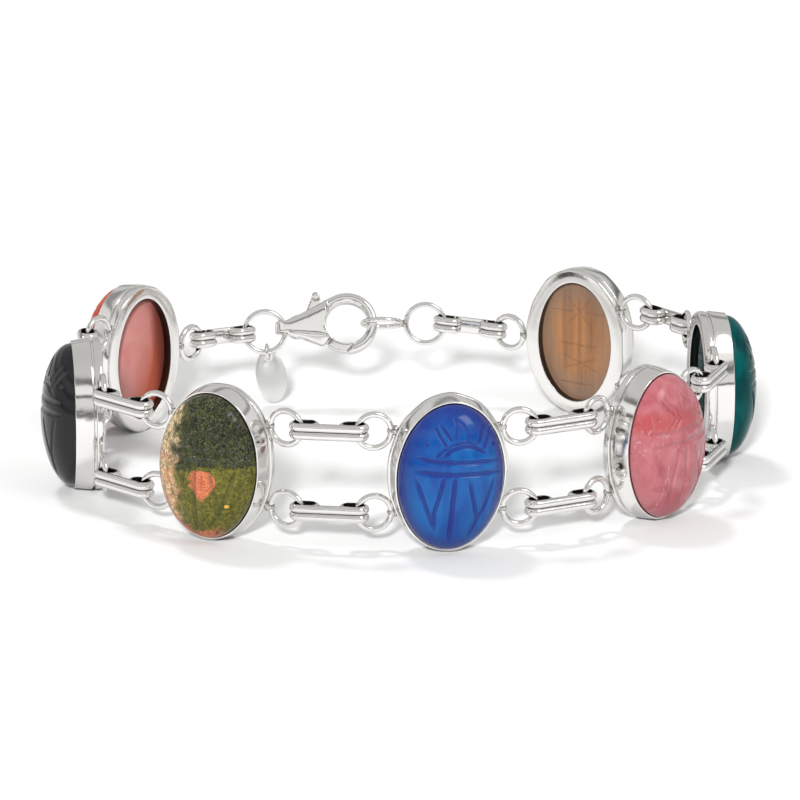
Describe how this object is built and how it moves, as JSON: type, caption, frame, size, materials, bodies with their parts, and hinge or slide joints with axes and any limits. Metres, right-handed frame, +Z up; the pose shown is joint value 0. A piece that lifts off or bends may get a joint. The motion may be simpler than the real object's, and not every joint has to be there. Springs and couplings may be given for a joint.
{
  "type": "scarab bracelet",
  "caption": "Closed bracelet of oval gemstone scarabs in metal bezel settings, joined by paired ridged bar links, with a lobster clasp and a small plain tag.",
  "frame": {"origin": "middle of the bracelet's box in plan, on the surface it stands on", "axes": "+X along the loop's longer width, -Y towards the blue stone and the viewer, +Z up"},
  "size_m": [0.0696, 0.0584, 0.0149],
  "materials": {
    "silver": "polished sterling silver",
    "tag_silver": "matt silver",
    "stone_blue": "polished translucent blue agate",
    "stone_pink": "polished rhodochrosite, rose with pale veins",
    "stone_green": "polished dark green malachite-like stone",
    "stone_tiger_eye": "polished tiger's eye, brown with silky bands",
    "stone_carnelian": "polished translucent carnelian",
    "stone_onyx": "polished black onyx",
    "stone_unakite": "polished unakite, mottled green with a pink patch"
  },
  "bodies": {
    "bracelet": {"setting_blue": "silver", "setting_pink": "silver", "setting_green": "silver", "setting_tiger_eye": "silver", "setting_carnelian": "silver", "setting_onyx": "silver", "setting_unakite": "silver", "bar_blue_pink_upper": "silver", "bar_blue_pink_lower": "silver", "bar_pink_green_upper": "silver", "bar_pink_green_lower": "silver", "bar_green_tiger_eye_upper": "silver", "bar_green_tiger_eye_lower": "silver", "bar_carnelian_onyx_upper": "silver", "bar_carnelian_onyx_lower": "silver", "bar_onyx_unakite_upper": "silver", "bar_onyx_unakite_lower": "silver", "bar_unakite_blue_upper": "silver", "bar_unakite_blue_lower": "silver", "bar_tiger_eye_catch": "silver", "bar_jump_carnelian": "silver", "catch_ring": "silver", "clasp_body": "silver", "clasp_pin": "silver", "jump_ring": "silver", "tag_ring": "silver", "tag": "tag_silver", "stone_blue": "stone_blue", "stone_pink": "stone_pink", "stone_green": "stone_green", "stone_tiger_eye": "stone_tiger_eye", "stone_carnelian": "stone_carnelian", "stone_onyx": "stone_onyx", "stone_unakite": "stone_unakite"},
    "lever": {"clasp_lever": "silver"}
  },
  "joints": [
    {"name": "clasp_lever_pivot", "type": "hinge", "parent": "bracelet", "child": "lever", "pos_m": [-0.00821, 0.02716, 0.00814], "axis": [-0.0016, -0.8991, 0.4377], "range_deg": [0, 22], "stiffness_Nm_per_rad": 0.002}
  ]
}
